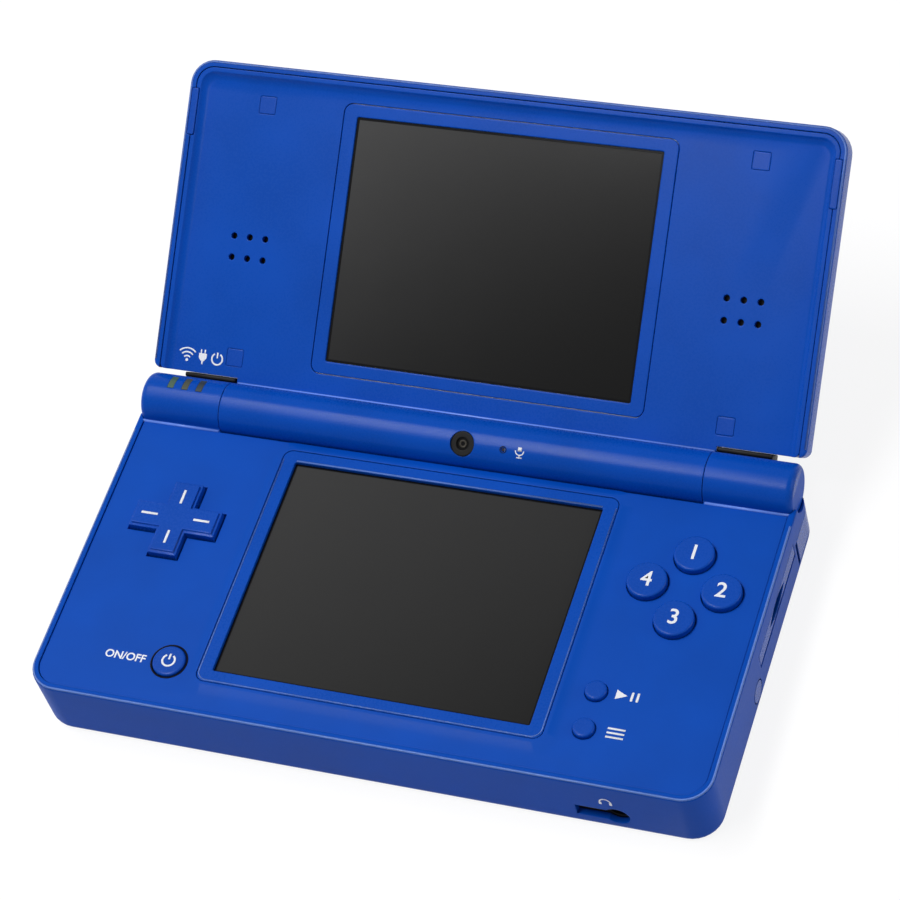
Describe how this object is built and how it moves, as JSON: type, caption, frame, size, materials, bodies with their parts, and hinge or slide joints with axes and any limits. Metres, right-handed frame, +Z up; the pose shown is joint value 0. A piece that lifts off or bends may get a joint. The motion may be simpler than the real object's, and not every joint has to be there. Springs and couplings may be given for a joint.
{
  "type": "clamshell handheld game console",
  "caption": "Clamshell handheld game console: a low base with keys, stylus, card slots and touch screen, and a thin barrel-hinged lid with a second screen, speakers and cameras.",
  "frame": {"origin": "centre of the base's flat underside", "axes": "+X to the user's right, +Y from the user towards the hinge, +Z up out of the keys"},
  "size_m": [0.1373, 0.1288, 0.0543],
  "materials": {
    "shell_blue": "satin blue moulded shell",
    "key_blue": "satin blue moulded keys",
    "screen_glass": "dark screen glass, switched off",
    "lens_glass": "dark lens window",
    "display_frame": "thin pressed frame of a display module",
    "board": "green solder-masked board",
    "shield": "tinned sheet cover",
    "battery_can": "wrapped battery can",
    "screw_steel": "zinc-plated screws and pins",
    "black_plastic": "black moulded plastic",
    "card_metal": "folded sheet card bay",
    "rubber": "silicone rubber",
    "light_pipe": "tinted translucent light pipe",
    "ribbon": "amber flexible circuit"
  },
  "bodies": {
    "base": {"base_shell": "shell_blue", "base_face": "shell_blue", "lower_frame": "shell_blue", "touch_glass": "screen_glass", "lower_display": "display_frame", "main_board": "board", "shield_can": "shield", "battery": "battery_can", "battery_cover": "shell_blue", "cover_screws": "screw_steel", "base_screws": "screw_steel", "card_socket": "black_plastic", "memory_socket": "card_metal", "audio_socket": "black_plastic", "power_inlet": "black_plastic", "strap_pin": "screw_steel", "stylus_sleeve": "black_plastic", "pad_membrane": "rubber", "key_membrane": "rubber", "mini_membranes": "rubber", "status_lights": "light_pipe", "hinge_cartridge": "screw_steel", "hinge_sleeve": "screw_steel", "shoulder_pins": "screw_steel", "side_switches": "black_plastic", "pad_post": "black_plastic"},
    "lid": {"lid_shell": "shell_blue", "lid_face": "shell_blue", "upper_frame": "shell_blue", "upper_glass": "screen_glass", "upper_display": "display_frame", "speaker_left": "black_plastic", "speaker_right": "black_plastic", "screw_plugs": "key_blue", "lid_screws": "screw_steel", "rim_bumpers": "key_blue", "inner_camera": "lens_glass", "camera_ring": "black_plastic", "microphone": "screw_steel", "outer_camera": "black_plastic", "outer_lens": "lens_glass", "hinge_ribbon": "ribbon"},
    "pad_centre": {"pad_ball": "black_plastic"},
    "pad": {"direction_pad": "key_blue"},
    "north_key": {"button_north": "key_blue"},
    "east_key": {"button_east": "key_blue"},
    "south_key": {"button_south": "key_blue"},
    "west_key": {"button_west": "key_blue"},
    "start_key": {"start_button": "key_blue"},
    "select_key": {"select_button": "key_blue"},
    "power_key": {"power_button": "key_blue"},
    "volume_up_key": {"volume_up": "key_blue"},
    "volume_down_key": {"volume_down": "key_blue"},
    "left_shoulder": {"shoulder_left": "key_blue"},
    "right_shoulder": {"shoulder_right": "key_blue"},
    "card_flap": {"memory_cover": "shell_blue"},
    "pen": {"stylus": "shell_blue"}
  },
  "joints": [
    {"name": "lid_hinge", "type": "hinge", "parent": "base", "child": "lid", "pos_m": [0, 0.03195, 0.015], "axis": [-1, 0, 0], "range_deg": [-145, 15]},
    {"name": "pad_tilt_sideways", "type": "hinge", "parent": "base", "child": "pad_centre", "pos_m": [-0.0515, 0.00425, 0.0109], "axis": [0, 1, 0], "range_deg": [-3.5, 3.5], "stiffness_Nm_per_rad": 0.13},
    {"name": "pad_tilt_lengthways", "type": "hinge", "parent": "pad_centre", "child": "pad", "pos_m": [-0.0515, 0.00425, 0.0109], "axis": [1, 0, 0], "range_deg": [-3.5, 3.5], "stiffness_Nm_per_rad": 0.13},
    {"name": "north_press", "type": "slide", "parent": "base", "child": "north_key", "axis": [0, 0, -1], "range_m": [0, 0.0006], "stiffness_N_per_m": 1200, "springref_m": -0.0004},
    {"name": "east_press", "type": "slide", "parent": "base", "child": "east_key", "axis": [0, 0, -1], "range_m": [0, 0.0006], "stiffness_N_per_m": 1200, "springref_m": -0.0004},
    {"name": "south_press", "type": "slide", "parent": "base", "child": "south_key", "axis": [0, 0, -1], "range_m": [0, 0.0006], "stiffness_N_per_m": 1200, "springref_m": -0.0004},
    {"name": "west_press", "type": "slide", "parent": "base", "child": "west_key", "axis": [0, 0, -1], "range_m": [0, 0.0006], "stiffness_N_per_m": 1200, "springref_m": -0.0004},
    {"name": "start_press", "type": "slide", "parent": "base", "child": "start_key", "axis": [0, 0, -1], "range_m": [0, 0.0005], "stiffness_N_per_m": 1200, "springref_m": -0.0004},
    {"name": "select_press", "type": "slide", "parent": "base", "child": "select_key", "axis": [0, 0, -1], "range_m": [0, 0.0005], "stiffness_N_per_m": 1200, "springref_m": -0.0004},
    {"name": "power_press", "type": "slide", "parent": "base", "child": "power_key", "axis": [0, 0, -1], "range_m": [0, 0.0005], "stiffness_N_per_m": 1200, "springref_m": -0.0004},
    {"name": "volume_up_press", "type": "slide", "parent": "base", "child": "volume_up_key", "axis": [1, 0, 0], "range_m": [0, 0.0005], "stiffness_N_per_m": 1200, "springref_m": -0.0004},
    {"name": "volume_down_press", "type": "slide", "parent": "base", "child": "volume_down_key", "axis": [1, 0, 0], "range_m": [0, 0.0005], "stiffness_N_per_m": 1200, "springref_m": -0.0004},
    {"name": "left_shoulder_press", "type": "hinge", "parent": "base", "child": "left_shoulder", "pos_m": [-0.0521, 0.03485, 0.0055], "axis": [0, 0, 1], "range_deg": [0, 3], "stiffness_Nm_per_rad": 0.2, "springref_deg": -2.86},
    {"name": "right_shoulder_press", "type": "hinge", "parent": "base", "child": "right_shoulder", "pos_m": [0.0521, 0.03485, 0.0055], "axis": [0, 0, -1], "range_deg": [0, 3], "stiffness_Nm_per_rad": 0.2, "springref_deg": -2.86},
    {"name": "card_flap_hinge", "type": "hinge", "parent": "base", "child": "card_flap", "pos_m": [0.0679, 0.01005, 0.0078], "axis": [0, 1, 0], "range_deg": [0, 80]},
    {"name": "pen_slide", "type": "slide", "parent": "base", "child": "pen", "axis": [1, 0, 0], "range_m": [0, 0.08]}
  ]
}
